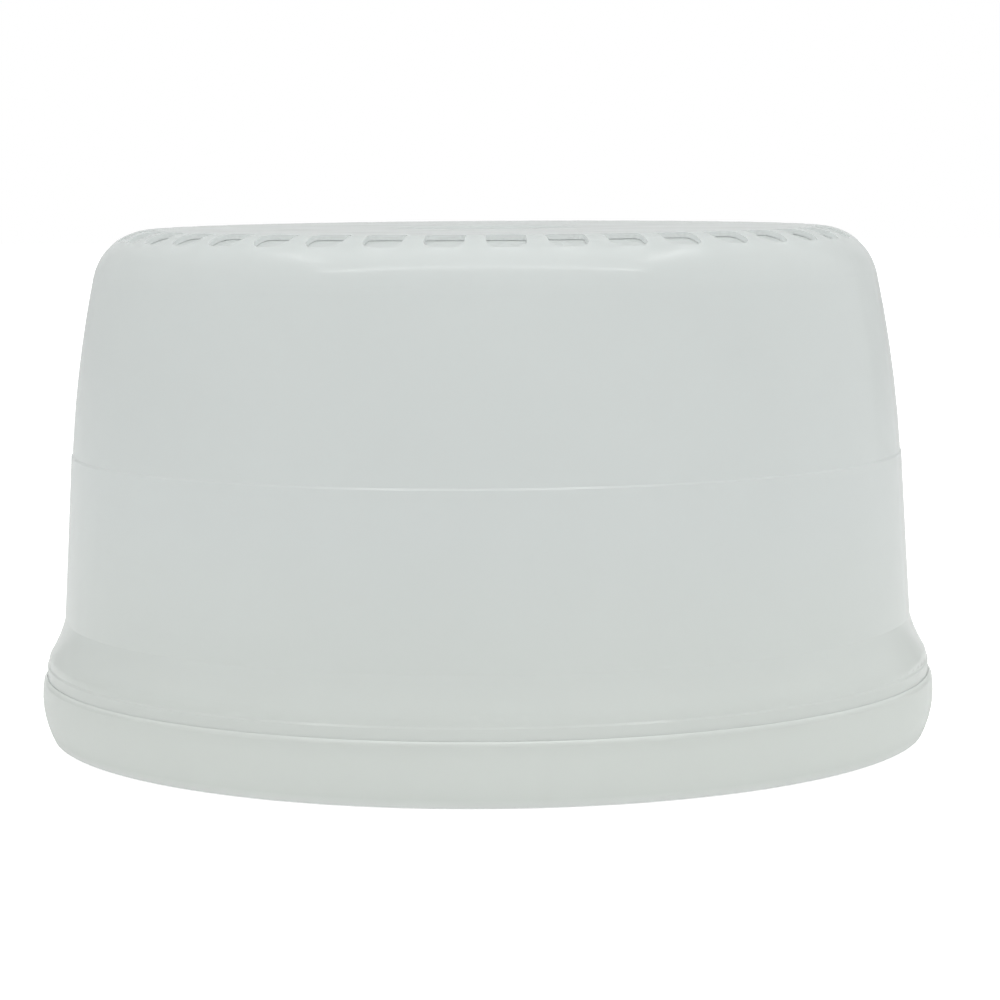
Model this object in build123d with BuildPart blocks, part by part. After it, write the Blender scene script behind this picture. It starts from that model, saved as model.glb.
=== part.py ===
from build123d import *
from math import cos, radians, sin
import os

# Round humidity dome on its tray, standing on z = 0 with the common axis on Z.
# A milky dome with a turning vent ring covers a perforated seed tray, which stands in a water tray.
# The vents are drawn closed. All sizes are in millimetres.

# ---- driving dimensions -------------------------------------------------------------------------
BASE_R = 140.0          # widest radius, on the water tray's convex rim
FOOT_R = 137.0          # rim's radius where it meets the table
RIM_Z = 19.0            # top of the water tray's rim
LEDGE_Z = 18.2          # ledge inside the rim that carries the dome
TRAY_WALL = 1.6
TRAY_FLOOR_Z = 2.4      # underside of the water tray's floor
UPSTAND_R = 133.2       # outside of the water tray's upstand
UPSTAND_Z = 28.0

WALL = 1.5              # dome wall
SEAT_GAP = 0.3          # clearance between faces that only rest on each other
LIP_R = 138.5           # dome's skirt at its lip
WALL_FOOT = (132.8, 36.5)   # foot of the dome's wall, radius and height
STEP_Z = 88.0           # mould step at mid height
STEP_R_LOW = 129.9
STEP_R_HIGH = 129.5
STEP_RISE = 0.6
TOP_Z = 157.0
SHOULDER_R = 18.2       # radius of the rounded shoulder
SHOULDER_CENTRE_R = 104.2
SHOULDER_LEAN = 12.0    # lean of the wall where the shoulder starts, degrees

VENT_COUNT = 40
VENT_RING_R = 108.8     # middle of the ring of vent slots
VENT_LENGTH = 11.4      # along the radius
VENT_WIDTH = 11.4       # round the ring
VENT_CORNER = 3.0
VENT_TURN = 180 / VENT_COUNT    # dial's turn from closed to fully open
RUN_GAP = 0.25          # between the dome and the shutter that turns below it

RECESS_R = 28.0         # finger recess in the top panel
RECESS_DEPTH = 8.0
RECESS_FLOOR_Z = TOP_Z - RECESS_DEPTH
RECESS_DRAFT = 1.6
RECESS_FILLET = 3.0
SPIGOT_R = 6.0          # dial's spigot, which turns in a hole in the recess floor
HUB_BORE_R = SPIGOT_R + 0.05

SHUTTER_WALL = 1.4
SHUTTER_INNER_R = 96.0
SHUTTER_SLOT_LENGTH = 10.4
SHUTTER_SLOT_WIDTH = 4.0
SHUTTER_SLOT_CORNER = 1.6
SPOKE_WIDTH = 16.0
HUB_R = 16.0
HUB_TOP_Z = RECESS_FLOOR_Z - WALL - RUN_GAP
HUB_HEIGHT = 3.2
HUB_BOTTOM_Z = HUB_TOP_Z - HUB_HEIGHT
KEY_SIDE = 7.6          # square key between the dial and the shutter
KEY_GAP = 0.05

WASHER_T = 1.2
DIAL_R = 21.5
DIAL_TOP_Z = TOP_Z - 0.7
DIAL_PLATE = 2.6
RIVET_R = 2.0

SEED_FLOOR_Z = 11.4     # inside of the seed tray's floor
SEED_WALL = 1.4
SEED_RIM_R = 128.0
SEED_RIM_Z = 27.6
SEED_FLOOR_R = 117.0

os.makedirs("parts", exist_ok=True)


def polar(centre, radius, angle):
    """Point on a circle in a profile plane, angle in degrees from the outward radial direction."""
    return (centre[0] + radius * cos(radians(angle)), centre[1] + radius * sin(radians(angle)))


# ---- water tray ---------------------------------------------------------------------------------
# One moulding: a cup with an upstand, a ledge for the dome, and a rim round the ledge that hangs
# down to the table.
FLOOR_TOP_Z = TRAY_FLOOR_Z + TRAY_WALL
CUP_FLOOR_R = 126.0     # where the cup's flat floor ends
CUP_CORNER_R = 3.8      # rounding inside the cup, between floor and wall
CUP_OUTER_CORNER_R = CUP_CORNER_R + TRAY_WALL
CUP_WALL_R = CUP_FLOOR_R + CUP_CORNER_R
UPSTAND_DRAFT = 0.3
RIM_BULGE_Z = 10.3      # height of the rim's widest circle
RIM_EDGE = (139.7, 17.6)    # where the rim turns over towards the ledge
RIM_ROLL = (139.32, 18.36)
RIM_INNER_R = 138.8         # rim's short inner face, round the dome's lip
LEDGE_INNER_Z = LEDGE_Z - TRAY_WALL
RIM_UNDER_R = 137.6         # where the hanging rim leaves the ledge, inside
FOOT_RING_R = 120.0
FOOT_RING_WIDTH = 3.0
FOOT_RING_DRAFT = 0.4
GUSSET_COUNT = 24
GUSSET_T = 1.2
GUSSET_R = 134.7        # middle of the gap between the cup and the hanging rim
GUSSET_LENGTH = 6.0
GUSSET_HEIGHT = 13.0

with BuildPart() as base_tray:
    with BuildSketch(Plane.XZ):
        with BuildLine():
            ThreePointArc((FOOT_R, 0), (BASE_R, RIM_BULGE_Z), RIM_EDGE)
            ThreePointArc(RIM_EDGE, RIM_ROLL, (RIM_INNER_R, RIM_Z))
            Polyline(
                (RIM_INNER_R, RIM_Z),
                (RIM_INNER_R, LEDGE_Z),
                (UPSTAND_R + UPSTAND_DRAFT, LEDGE_Z),
                (UPSTAND_R, UPSTAND_Z),
                (UPSTAND_R - TRAY_WALL, UPSTAND_Z),
                (CUP_WALL_R, FLOOR_TOP_Z + CUP_CORNER_R),
            )
            RadiusArc(
                (CUP_WALL_R, FLOOR_TOP_Z + CUP_CORNER_R), (CUP_FLOOR_R, FLOOR_TOP_Z), CUP_CORNER_R
            )
            Polyline(
                (CUP_FLOOR_R, FLOOR_TOP_Z),
                (0, FLOOR_TOP_Z),
                (0, TRAY_FLOOR_Z),
                (FOOT_RING_R, TRAY_FLOOR_Z),
                (FOOT_RING_R + FOOT_RING_DRAFT, 0),
                (FOOT_RING_R + FOOT_RING_WIDTH, 0),
                (FOOT_RING_R + FOOT_RING_WIDTH + FOOT_RING_DRAFT, TRAY_FLOOR_Z),
                (CUP_FLOOR_R, TRAY_FLOOR_Z),
            )
            cup_corner = RadiusArc(
                (CUP_FLOOR_R, TRAY_FLOOR_Z),
                (CUP_FLOOR_R + CUP_OUTER_CORNER_R, TRAY_FLOOR_Z + CUP_OUTER_CORNER_R),
                -CUP_OUTER_CORNER_R,
            )
            Polyline(
                cup_corner @ 1,
                (UPSTAND_R - UPSTAND_DRAFT, LEDGE_INNER_Z),
                (RIM_UNDER_R, LEDGE_INNER_Z),
            )
            ThreePointArc(
                (RIM_UNDER_R, LEDGE_INNER_Z),
                (BASE_R - TRAY_WALL, RIM_BULGE_Z),
                (FOOT_R - TRAY_WALL, 0),
            )
            Line((FOOT_R - TRAY_WALL, 0), (FOOT_R, 0))
        make_face()
    revolve(axis=Axis.Z)
    with BuildSketch(Plane.XY.offset(LEDGE_Z - TRAY_WALL / 2)):
        with PolarLocations(GUSSET_R, GUSSET_COUNT, start_angle=180 / GUSSET_COUNT):
            Rectangle(GUSSET_LENGTH, GUSSET_T)
    extrude(amount=-GUSSET_HEIGHT)
base_tray.part.label = "base_tray"
export_step(base_tray.part, "parts/base_tray.step")

# ---- seed tray ----------------------------------------------------------------------------------
# A perforated pan on small feet, with a rolled rim and two lifting tabs, each with a finger hole.
SEED_CORNER_R = 5.0
SEED_WALL_ANGLE = 78
SEED_ROLL = 2.0         # rolled rim's height and half width
SEED_WALL_TOP = (123.8, 25.4)
SEED_FOOT_R = 3.2
SEED_FOOT_RINGS = ((62.0, 6), (104.0, 12))      # radius of the ring, feet on it
DRAIN_RINGS = ((26.0, 8), (48.0, 14), (78.0, 24), (92.0, 28))     # radius, slots on it
DRAIN_LENGTH = 10.0
DRAIN_WIDTH = 2.4
TAB_CHORD = 106.0       # distance of the tab's straight edge from the axis
TAB_OUTER_R = 122.5
TAB_DROP = 3.0          # top of the tabs below the rim
FINGER_HOLE_R = 114.0
FINGER_HOLE_LENGTH = 26.0
FINGER_HOLE_WIDTH = 8.0

with BuildPart() as seed_tray:
    with BuildSketch(Plane.XZ):
        with BuildLine():
            floor = Line((0, SEED_FLOOR_Z), (SEED_FLOOR_R - SEED_CORNER_R, SEED_FLOOR_Z))
            corner = JernArc(floor @ 1, floor % 1, SEED_CORNER_R, SEED_WALL_ANGLE)
            wall = Line(corner @ 1, SEED_WALL_TOP)
            roll = TangentArc(wall @ 1, (SEED_RIM_R - SEED_ROLL, SEED_RIM_Z), tangent=wall % 1)
            TangentArc(roll @ 1, (SEED_RIM_R, SEED_RIM_Z - SEED_ROLL), tangent=(1, 0))
            offset(amount=SEED_WALL, side=Side.RIGHT)
        make_face()
    revolve(axis=Axis.Z)
    with BuildSketch(Plane.XY.offset(SEED_RIM_Z - TAB_DROP)):
        Circle(TAB_OUTER_R)
        Rectangle(2 * TAB_CHORD, 2 * BASE_R, mode=Mode.SUBTRACT)
        with PolarLocations(FINGER_HOLE_R, 2):
            SlotOverall(FINGER_HOLE_LENGTH, FINGER_HOLE_WIDTH, rotation=90, mode=Mode.SUBTRACT)
    extrude(amount=-SEED_WALL)
    with BuildSketch(Plane.XY.offset(FLOOR_TOP_Z + SEAT_GAP)):
        for ring_radius, count in SEED_FOOT_RINGS:
            with PolarLocations(ring_radius, count):
                Circle(SEED_FOOT_R)
    extrude(until=Until.NEXT)
    with BuildSketch(Plane.XY.offset(SEED_FLOOR_Z)):
        for ring_radius, count in DRAIN_RINGS:
            with PolarLocations(ring_radius, count, start_angle=180 / count):
                SlotOverall(DRAIN_LENGTH, DRAIN_WIDTH)
    extrude(amount=-SEED_WALL, mode=Mode.SUBTRACT)
seed_tray.part.label = "seed_tray"
export_step(seed_tray.part, "parts/seed_tray.step")

# ---- dome ---------------------------------------------------------------------------------------
# Skirt with a stepped lip, flare, wall with a mould step, rounded shoulder with the ring of vent
# slots, flat top with a finger recess. Fins under the top stop the shutter closed and open.
LIP_BOTTOM_Z = LEDGE_Z + SEAT_GAP
LIP_STEP_Z = 22.4
LIP_STEP_RUN = 0.4
LIP_ROLL = (137.9, 24.5)
FLARE_START = (137.2, 26.1)
SHOULDER_CENTRE = (SHOULDER_CENTRE_R, TOP_Z - SHOULDER_R)
VENT_CUT_DEPTH = 10.0
STOP_RING_R = 88.0
STOP_LENGTH = 10.0
STOP_T = 1.5
STOP_DEPTH = 4.6
STOP_EMBED = 0.2        # how far the fins reach into the top panel
STOP_OFFSET = SPOKE_WIDTH / 2 + SEAT_GAP + STOP_T / 2

with BuildPart() as dome:
    with BuildSketch(Plane.XZ):
        with BuildLine():
            lip = Polyline(
                (LIP_R, LIP_BOTTOM_Z),
                (LIP_R, LIP_STEP_Z),
                (LIP_R - LIP_STEP_RUN, LIP_STEP_Z + STEP_RISE),
            )
            roll = ThreePointArc(lip @ 1, LIP_ROLL, FLARE_START)
            flare = TangentArc(roll @ 1, WALL_FOOT, tangent=roll % 1)
            lower_wall = Line(flare @ 1, (STEP_R_LOW, STEP_Z - STEP_RISE))
            step = Line(lower_wall @ 1, (STEP_R_HIGH, STEP_Z))
            shoulder_start = polar(SHOULDER_CENTRE, SHOULDER_R, SHOULDER_LEAN)
            lean = (sin(radians(SHOULDER_LEAN)), -cos(radians(SHOULDER_LEAN)))
            TangentArc(shoulder_start, step @ 1, tangent=lean)
            CenterArc(SHOULDER_CENTRE, SHOULDER_R, SHOULDER_LEAN, 90 - SHOULDER_LEAN)
            FilletPolyline(
                (SHOULDER_CENTRE_R, TOP_Z),
                (RECESS_R, TOP_Z),
                (RECESS_R - RECESS_DRAFT, RECESS_FLOOR_Z),
                (HUB_BORE_R, RECESS_FLOOR_Z),
                radius=RECESS_FILLET,
            )
            offset(amount=WALL, side=Side.LEFT)
        make_face()
    revolve(axis=Axis.Z)
    with BuildSketch(Plane.XY.offset(TOP_Z)):
        with PolarLocations(VENT_RING_R, VENT_COUNT, start_angle=VENT_TURN):
            RectangleRounded(VENT_LENGTH, VENT_WIDTH, VENT_CORNER)
    extrude(amount=-VENT_CUT_DEPTH, mode=Mode.SUBTRACT)
    with BuildSketch(Plane.XY.offset(TOP_Z - WALL + STOP_EMBED)):
        with PolarLocations(STOP_RING_R, 2):
            with Locations((0, -STOP_OFFSET)):
                Rectangle(STOP_LENGTH, STOP_T)
        with PolarLocations(STOP_RING_R, 2, start_angle=VENT_TURN):
            with Locations((0, STOP_OFFSET)):
                Rectangle(STOP_LENGTH, STOP_T)
    extrude(amount=-STOP_DEPTH)
dome.part.label = "dome"
export_step(dome.part, "parts/dome.step")

# ---- vent shutter -------------------------------------------------------------------------------
# A slotted ring that follows the inside of the shoulder, carried on four spokes by a keyed hub. Its
# slots stand half a pitch from the dome's until the dial is turned.
SHUTTER_TOP_Z = TOP_Z - WALL - RUN_GAP
SHUTTER_SHOULDER_R = SHOULDER_R - WALL - RUN_GAP
SHUTTER_EDGE_ANGLE = 40
SHUTTER_CUT_DEPTH = 20.0
DISH_R = RECESS_R + 1.5     # shutter's dish that clears the finger recess
DISH_START_R = HUB_R - 4.0

with BuildPart() as vent_shutter:
    with BuildSketch(Plane.XZ):
        with BuildLine():
            Polyline(
                (DISH_START_R, HUB_TOP_Z),
                (DISH_R, HUB_TOP_Z),
                (SHUTTER_INNER_R, SHUTTER_TOP_Z),
                (SHOULDER_CENTRE_R, SHUTTER_TOP_Z),
            )
            CenterArc(SHOULDER_CENTRE, SHUTTER_SHOULDER_R, 90, SHUTTER_EDGE_ANGLE - 90)
            offset(amount=SHUTTER_WALL, side=Side.RIGHT)
        make_face()
    revolve(axis=Axis.Z)
    with BuildSketch(Plane.XY.offset(TOP_Z)):
        Circle(SHUTTER_INNER_R)
        Circle(HUB_R, mode=Mode.SUBTRACT)
        Rectangle(2 * SHUTTER_INNER_R, SPOKE_WIDTH, mode=Mode.SUBTRACT)
        Rectangle(SPOKE_WIDTH, 2 * SHUTTER_INNER_R, mode=Mode.SUBTRACT)
        with PolarLocations(VENT_RING_R, VENT_COUNT):
            RectangleRounded(SHUTTER_SLOT_LENGTH, SHUTTER_SLOT_WIDTH, SHUTTER_SLOT_CORNER)
    extrude(amount=-SHUTTER_CUT_DEPTH, mode=Mode.SUBTRACT)
    with BuildSketch(Plane.XY.offset(HUB_TOP_Z)):
        Circle(HUB_R)
        Rectangle(KEY_SIDE + 2 * KEY_GAP, KEY_SIDE + 2 * KEY_GAP, mode=Mode.SUBTRACT)
    extrude(amount=-HUB_HEIGHT)
vent_shutter.part.label = "vent_shutter"
export_step(vent_shutter.part, "parts/vent_shutter.step")

# ---- friction washer under the dial -------------------------------------------------------------
WASHER_BORE_R = SPIGOT_R + 0.3
WASHER_R = 17.0
WASHER_GAP = 0.05
WASHER_EDGE_FILLET = 0.35

with BuildPart() as vent_washer:
    with BuildSketch(Plane.XY.offset(RECESS_FLOOR_Z + WASHER_GAP)):
        Circle(WASHER_R)
        Circle(WASHER_BORE_R, mode=Mode.SUBTRACT)
    extrude(amount=WASHER_T)
    rims = vent_washer.edges().filter_by(GeomType.CIRCLE).sort_by(SortBy.RADIUS)[-2:]
    fillet(rims, WASHER_EDGE_FILLET)
vent_washer.part.label = "vent_washer"
export_step(vent_washer.part, "parts/vent_washer.step")

# ---- dial ---------------------------------------------------------------------------------------
# Round plate with a grip across it, a spigot through the dome, and a square key for the shutter.
DIAL_BOTTOM_Z = RECESS_FLOOR_Z + WASHER_GAP + WASHER_T
DIAL_EDGE_FILLET = 0.9
GRIP_WIDTH = 8.0
GRIP_END_R = 19.0
GRIP_ROOT_Z = DIAL_BOTTOM_Z + DIAL_PLATE - 0.4
GRIP_TAPER = 7
GRIP_FILLET = 1.2
KEY_TOP_Z = HUB_TOP_Z + 0.1
KEY_BOTTOM_Z = HUB_BOTTOM_Z + 0.1
RIVET_HOLE_DEPTH = 8.0

with BuildPart() as vent_dial:
    with BuildSketch(Plane.XY.offset(DIAL_BOTTOM_Z)):
        Circle(DIAL_R)
    extrude(amount=DIAL_PLATE)
    fillet(vent_dial.edges().group_by(Axis.Z)[-1], DIAL_EDGE_FILLET)
    with BuildSketch(Plane.XY.offset(GRIP_ROOT_Z)):
        SlotOverall(2 * GRIP_END_R, GRIP_WIDTH)
    extrude(amount=DIAL_TOP_Z - GRIP_ROOT_Z, taper=GRIP_TAPER)
    fillet(vent_dial.edges().group_by(Axis.Z)[-1], GRIP_FILLET)
    with BuildSketch(Plane.XY.offset(DIAL_BOTTOM_Z)):
        Circle(SPIGOT_R)
    extrude(amount=KEY_TOP_Z - DIAL_BOTTOM_Z)
    with BuildSketch(Plane.XY.offset(KEY_TOP_Z)):
        Rectangle(KEY_SIDE, KEY_SIDE)
    extrude(amount=KEY_BOTTOM_Z - KEY_TOP_Z)
    with Locations((0, 0, KEY_BOTTOM_Z)):
        Hole(RIVET_R, depth=RIVET_HOLE_DEPTH)
vent_dial.part.label = "vent_dial"
export_step(vent_dial.part, "parts/vent_dial.step")

# ---- rivet --------------------------------------------------------------------------------------
RIVET_HEAD_R = 7.0
RIVET_HEAD_T = 1.8
RIVET_HEAD_FILLET = 1.1
RIVET_LENGTH = 7.0
RIVET_TIP_CHAMFER = 0.5

with BuildPart() as hub_rivet:
    with BuildSketch(Plane.XY.offset(HUB_BOTTOM_Z)):
        Circle(RIVET_HEAD_R)
    extrude(amount=-RIVET_HEAD_T)
    fillet(hub_rivet.edges().group_by(Axis.Z)[0], RIVET_HEAD_FILLET)
    with BuildSketch(Plane.XY.offset(HUB_BOTTOM_Z)):
        Circle(RIVET_R - KEY_GAP)
    extrude(amount=RIVET_LENGTH)
    chamfer(hub_rivet.edges().group_by(Axis.Z)[-1], RIVET_TIP_CHAMFER)
hub_rivet.part.label = "hub_rivet"
export_step(hub_rivet.part, "parts/hub_rivet.step")
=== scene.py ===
import math

import bpy
from mathutils import Matrix, Vector

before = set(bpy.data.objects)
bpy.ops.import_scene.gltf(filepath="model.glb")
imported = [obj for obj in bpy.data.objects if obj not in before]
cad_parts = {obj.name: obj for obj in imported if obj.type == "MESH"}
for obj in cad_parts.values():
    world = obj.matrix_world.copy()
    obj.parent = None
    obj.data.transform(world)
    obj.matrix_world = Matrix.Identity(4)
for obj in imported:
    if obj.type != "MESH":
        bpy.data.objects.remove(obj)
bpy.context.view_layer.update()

# ---- camera: distances in metres, angles in degrees, lens in mm -----------------------------------
CAMERA_DISTANCE = 1.001      # from the axis, measured level
CAMERA_HEIGHT = 0.1778       # above the table
CAMERA_PITCH = 6.09          # looking down
CAMERA_ROLL = -0.384
CAMERA_YAW = -0.237
CAMERA_AZIMUTH = 1.4         # the dome's vents face the camera a little off a post
FOCAL_LENGTH = 114.65
SENSOR = 36.0

# ---- colours, linear -----------------------------------------------------------------------------
MILK = (0.765, 0.80, 0.788)
MILK_FOOT = (0.765, 0.80, 0.768)     # a little warmer towards the skirt, as in the tray
TRAY_MILK = (0.80, 0.835, 0.803)
FOOT_RISE = (0.02, 0.075)            # heights between which the dome goes from MILK_FOOT to MILK
PAINTED_CREVICE_LIGHT = (0.97, 0.985, 0.98)   # painted light: a paler tone painted into narrow places, standing in for light the milky walls pass on
NYLON = (0.74, 0.73, 0.68)
SILICONE = (0.58, 0.6, 0.59)
WHITE = (1.0, 1.0, 1.0)
FLOOR_PALE = (0.88, 0.88, 0.88)

# ---- surface detail: noise scales in features per metre, bump heights in metres ---------------------
CLOUD_SCALE = 11.0
CLOUD_RANGE = (0.985, 1.01)  # how far the cloudiness darkens and lightens the tone
GLOSS_SCALE = 45.0
WAVE_SCALE = 24.0
WAVE_HEIGHT = 0.0003
MOTTLE_SCALE = 120.0
MOTTLE_SHADE = 0.93
GRAIN_SCALE = 1500.0
GRAIN_HEIGHT = 0.0002
PLASTIC_IOR = 1.49

# ---- stage: each brightness is given twice, as it lights the part and as the camera sees it --------
FLOOR_GLOW = (0.22, 0.62)
STUDIO = (0.75, 1.0)
FLOOR_HALF = 6.0             # half the side of the floor, metres
FLOOR_DROP = 0.0004          # keeps the floor clear of the tray's foot

# name, azimuth (0 is the camera's side, positive to its right), elevation, size in metres, radiance
SOFTBOXES = (
    ("overhead", 0, 81, (2.4, 1.26), 0.85),
    ("strip_front", 0, 60, (2.4, 0.09), 6.5),
    ("strip_left", -95, 60, (0.7, 0.07), 3.5),
    ("strip_right", 97, 60, (0.8, 0.07), 4.5),
    ("right", 110, 15, (1.4, 1.6), 0.28),
    ("back", 180, 9, (1.6, 0.4), 0.12),
)
SOFTBOX_DISTANCE = 1.6
SOFTBOX_TARGET = Vector((0, 0, 0.08))   # about the middle of the part


# ---- node helpers --------------------------------------------------------------------------------
def node_material(name):
    """An empty node material and its tree."""
    material = bpy.data.materials.new(name)
    material.use_nodes = True
    material.node_tree.nodes.clear()
    return material, material.node_tree


def add_node(tree, kind, **inputs):
    """A node of that kind, with its inputs set by name. An input may be a value or an output socket."""
    node = tree.nodes.new(kind)
    for key, value in inputs.items():
        socket = node.inputs[key.replace("_", " ")]
        if isinstance(value, bpy.types.NodeSocket):
            tree.links.new(value, socket)
        else:
            socket.default_value = value
    return node


def for_camera(tree, on_part, seen):
    """A strength for the stage that differs between what lights the part and what the camera sees."""
    path = tree.nodes.new("ShaderNodeLightPath").outputs["Is Camera Ray"]
    return add_node(tree, "ShaderNodeMapRange", Value=path, To_Min=on_part, To_Max=seen).outputs["Result"]


def finish_material(tree, surface):
    """Links the surface to the material's output."""
    output = tree.nodes.new("ShaderNodeOutputMaterial")
    tree.links.new(surface, output.inputs["Surface"])


def ramp(tree, factor, stops):
    """A colour ramp over factor, with its stops as (position, colour)."""
    node = tree.nodes.new("ShaderNodeValToRGB")
    tree.links.new(factor, node.inputs["Fac"])
    for element, (position, colour) in zip(node.color_ramp.elements, stops):
        element.position = position
        element.color = (*colour, 1.0)
    return node.outputs["Color"]


def mixed(tree, factor, first, second):
    """A colour from first, at factor 0, to second, at factor 1. Each is a colour or an output socket."""
    node = tree.nodes.new("ShaderNodeMix")
    node.data_type = "RGBA"
    tree.links.new(factor, node.inputs["Factor"])
    sockets = [socket for socket in node.inputs if socket.type == "RGBA"]
    for socket, colour in zip(sockets, (first, second)):
        if isinstance(colour, bpy.types.NodeSocket):
            tree.links.new(colour, socket)
        else:
            socket.default_value = (*colour, 1.0)
    return next(socket for socket in node.outputs if socket.type == "RGBA")


def noise(tree, vector, scale, detail=2.0):
    node = add_node(tree, "ShaderNodeTexNoise", Vector=vector, Scale=scale, Detail=detail, Roughness=0.5)
    return node.outputs["Fac"]


def scaled(colour, factor):
    return [channel * factor for channel in colour]


# ---- materials -----------------------------------------------------------------------------------
def milky_plastic(name, tone, foot=None, glow=0.4, gloss=(0.13, 0.2), waviness=0.1, crevice_light_reach=0.008):
    """Translucent milky polypropylene: faint cloudiness, soft moulding waves and a satin gloss.

    The tone goes over to foot, where one is given, towards the table. Places narrower than
    crevice_light_reach metres get painted light, a paler tone standing in for light the walls pass on.
    """
    material, tree = node_material(name)
    place = add_node(tree, "ShaderNodeTexCoord").outputs["Object"]
    cloud = noise(tree, place, CLOUD_SCALE)
    shade, tint = CLOUD_RANGE
    cloudy, cloudy_foot = (
        ramp(tree, cloud, [(0.25, scaled(t, shade)), (0.75, scaled(t, tint))]) for t in (tone, foot or tone)
    )
    height = add_node(tree, "ShaderNodeSeparateXYZ", Vector=place).outputs["Z"]
    low, high = FOOT_RISE
    rise = add_node(tree, "ShaderNodeMapRange", Value=height, From_Min=low, From_Max=high).outputs["Result"]
    # painted light: narrow places that the AO node finds get a paler tone, standing in for light the walls
    # pass on
    open_air = add_node(tree, "ShaderNodeAmbientOcclusion", Distance=crevice_light_reach).outputs["AO"]
    colour = mixed(tree, open_air, PAINTED_CREVICE_LIGHT, mixed(tree, rise, cloudy_foot, cloudy))
    smooth, dull = gloss
    uneven = noise(tree, place, GLOSS_SCALE)
    rough = ramp(tree, uneven, [(0.3, scaled(WHITE, smooth)), (0.7, scaled(WHITE, dull))])
    waves = noise(tree, place, WAVE_SCALE, detail=1.0)
    bump = add_node(tree, "ShaderNodeBump", Strength=waviness, Distance=WAVE_HEIGHT, Height=waves)
    plastic = add_node(
        tree, "ShaderNodeBsdfPrincipled", Base_Color=colour, Roughness=rough, IOR=PLASTIC_IOR,
        Normal=bump.outputs["Normal"],
    )
    inner = add_node(tree, "ShaderNodeBsdfTranslucent", Color=colour)
    mix = add_node(tree, "ShaderNodeMixShader", Fac=glow)
    tree.links.new(plastic.outputs[0], mix.inputs[1])
    tree.links.new(inner.outputs[0], mix.inputs[2])
    finish_material(tree, mix.outputs[0])
    return material


def soft_rubber(name, tone):
    """Pale silicone: an even tone with a faint mottle, and a dull, finely grained surface."""
    material, tree = node_material(name)
    place = add_node(tree, "ShaderNodeTexCoord").outputs["Object"]
    mottle = noise(tree, place, MOTTLE_SCALE)
    colour = ramp(tree, mottle, [(0.3, scaled(tone, MOTTLE_SHADE)), (0.7, tone)])
    grain = noise(tree, place, GRAIN_SCALE)
    bump = add_node(tree, "ShaderNodeBump", Strength=0.1, Distance=GRAIN_HEIGHT, Height=grain)
    rubber = add_node(
        tree, "ShaderNodeBsdfPrincipled", Base_Color=colour, Roughness=0.62, Normal=bump.outputs["Normal"]
    )
    finish_material(tree, rubber.outputs[0])
    return material


def floor_material():
    """Backlit white sweep: it lights the part softly from below, and the camera sees it blown out."""
    material, tree = node_material("floor_white")
    matte = add_node(tree, "ShaderNodeBsdfDiffuse", Color=(*FLOOR_PALE, 1.0))
    light = add_node(
        tree, "ShaderNodeEmission", Color=(*WHITE, 1.0), Strength=for_camera(tree, *FLOOR_GLOW)
    )
    both = tree.nodes.new("ShaderNodeAddShader")
    tree.links.new(matte.outputs[0], both.inputs[0])
    tree.links.new(light.outputs[0], both.inputs[1])
    finish_material(tree, both.outputs[0])
    return material


dome_plastic = milky_plastic("dome_plastic", MILK, foot=MILK_FOOT, waviness=0.06)
tray_plastic = milky_plastic("tray_plastic", TRAY_MILK, crevice_light_reach=0.003)
inner_plastic = milky_plastic("inner_plastic", MILK, gloss=(0.25, 0.34))
rivet_nylon = milky_plastic("rivet_nylon", NYLON, glow=0.12)
washer_rubber = soft_rubber("washer_rubber", SILICONE)

FINISHES = {
    "base_tray": tray_plastic,
    "seed_tray": inner_plastic,
    "dome": dome_plastic,
    "vent_shutter": inner_plastic,
    "vent_dial": dome_plastic,
    "vent_washer": washer_rubber,
    "hub_rivet": rivet_nylon,
}
for node_name, finish in FINISHES.items():
    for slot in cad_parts[node_name].material_slots:
        slot.material = finish


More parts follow.
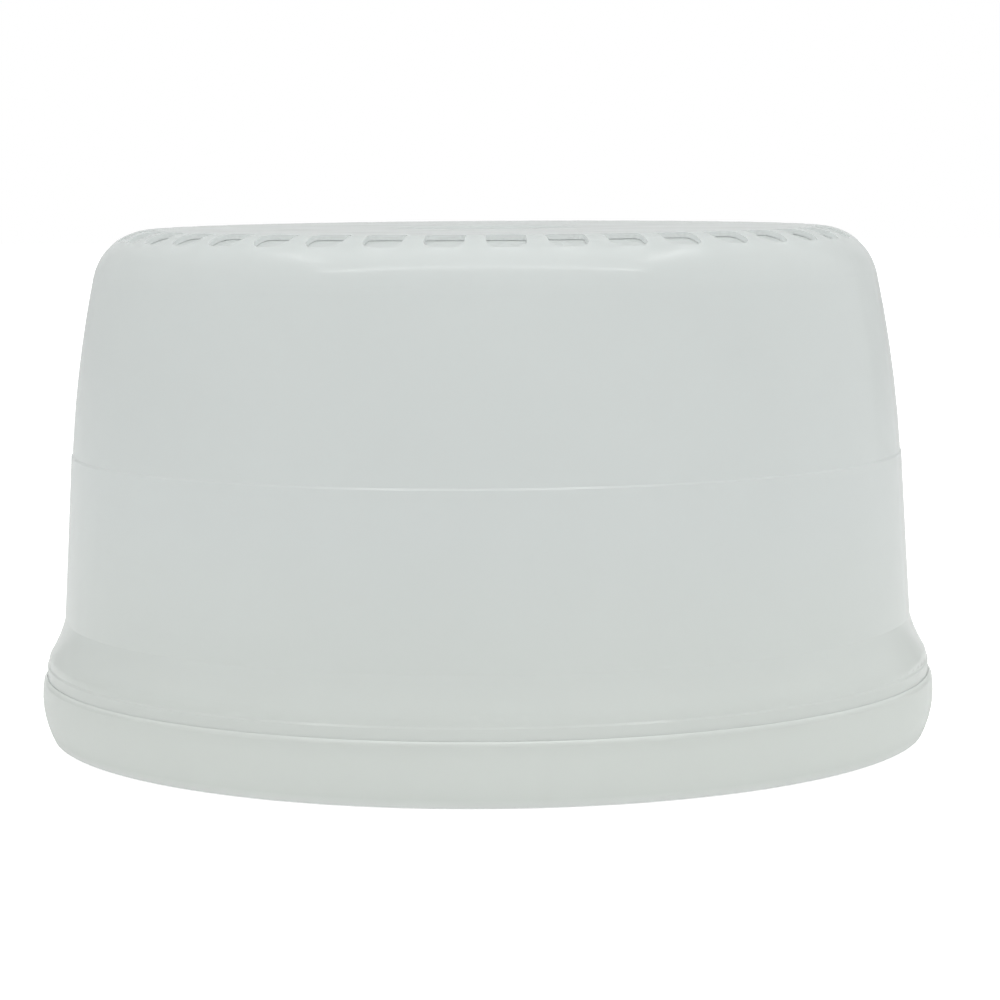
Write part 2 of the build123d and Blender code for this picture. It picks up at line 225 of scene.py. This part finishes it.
# ---- stage, lights and camera ----------------------------------------------------------------------
def make_floor():
    mesh = bpy.data.meshes.new("floor")
    corners = [(x * FLOOR_HALF, y * FLOOR_HALF, 0) for x, y in ((-1, -1), (1, -1), (1, 1), (-1, 1))]
    mesh.from_pydata(corners, [], [(0, 1, 2, 3)])
    floor = bpy.data.objects.new("floor", mesh)
    bpy.context.scene.collection.objects.link(floor)
    mesh.materials.append(floor_material())
    floor.location.z = -FLOOR_DROP


def make_world():
    world = bpy.data.worlds.new("studio")
    world.use_nodes = True
    tree = world.node_tree
    background = tree.nodes["Background"]
    background.inputs["Color"].default_value = (*WHITE, 1.0)
    tree.links.new(for_camera(tree, *STUDIO), background.inputs["Strength"])
    bpy.context.scene.world = world


def make_softbox(name, azimuth, elevation, size, radiance):
    """A rectangular area light that faces the part. The camera doesn't see it."""
    a, e = math.radians(azimuth), math.radians(elevation)
    away = Vector((math.sin(a) * math.cos(e), -math.cos(a) * math.cos(e), math.sin(e)))
    data = bpy.data.lights.new(name, "AREA")
    data.shape = "RECTANGLE"
    data.size, data.size_y = size
    data.energy = radiance * math.pi * size[0] * size[1]
    light = bpy.data.objects.new(name, data)
    bpy.context.scene.collection.objects.link(light)
    light.location = SOFTBOX_TARGET + away * SOFTBOX_DISTANCE
    light.rotation_mode = "QUATERNION"
    light.rotation_quaternion = (-away).to_track_quat("-Z", "Y")
    light.visible_camera = False


def make_camera():
    """A camera that orbits the part's axis, then turns, tips and rolls in place."""
    data = bpy.data.cameras.new("camera")
    data.sensor_width = SENSOR
    data.lens = FOCAL_LENGTH
    camera = bpy.data.objects.new("camera", data)
    bpy.context.scene.collection.objects.link(camera)
    orbit = Matrix.Rotation(math.radians(CAMERA_AZIMUTH), 4, "Z")
    place = Matrix.Translation((0, -CAMERA_DISTANCE, CAMERA_HEIGHT))
    turn = Matrix.Rotation(math.radians(CAMERA_YAW), 4, "Z")
    tip = Matrix.Rotation(math.radians(90 - CAMERA_PITCH), 4, "X")
    roll = Matrix.Rotation(math.radians(CAMERA_ROLL), 4, "Z")
    camera.matrix_world = orbit @ place @ turn @ tip @ roll
    bpy.context.scene.camera = camera


make_floor()
make_world()
for softbox in SOFTBOXES:
    make_softbox(*softbox)
make_camera()
bpy.context.scene.view_settings.view_transform = "Standard"
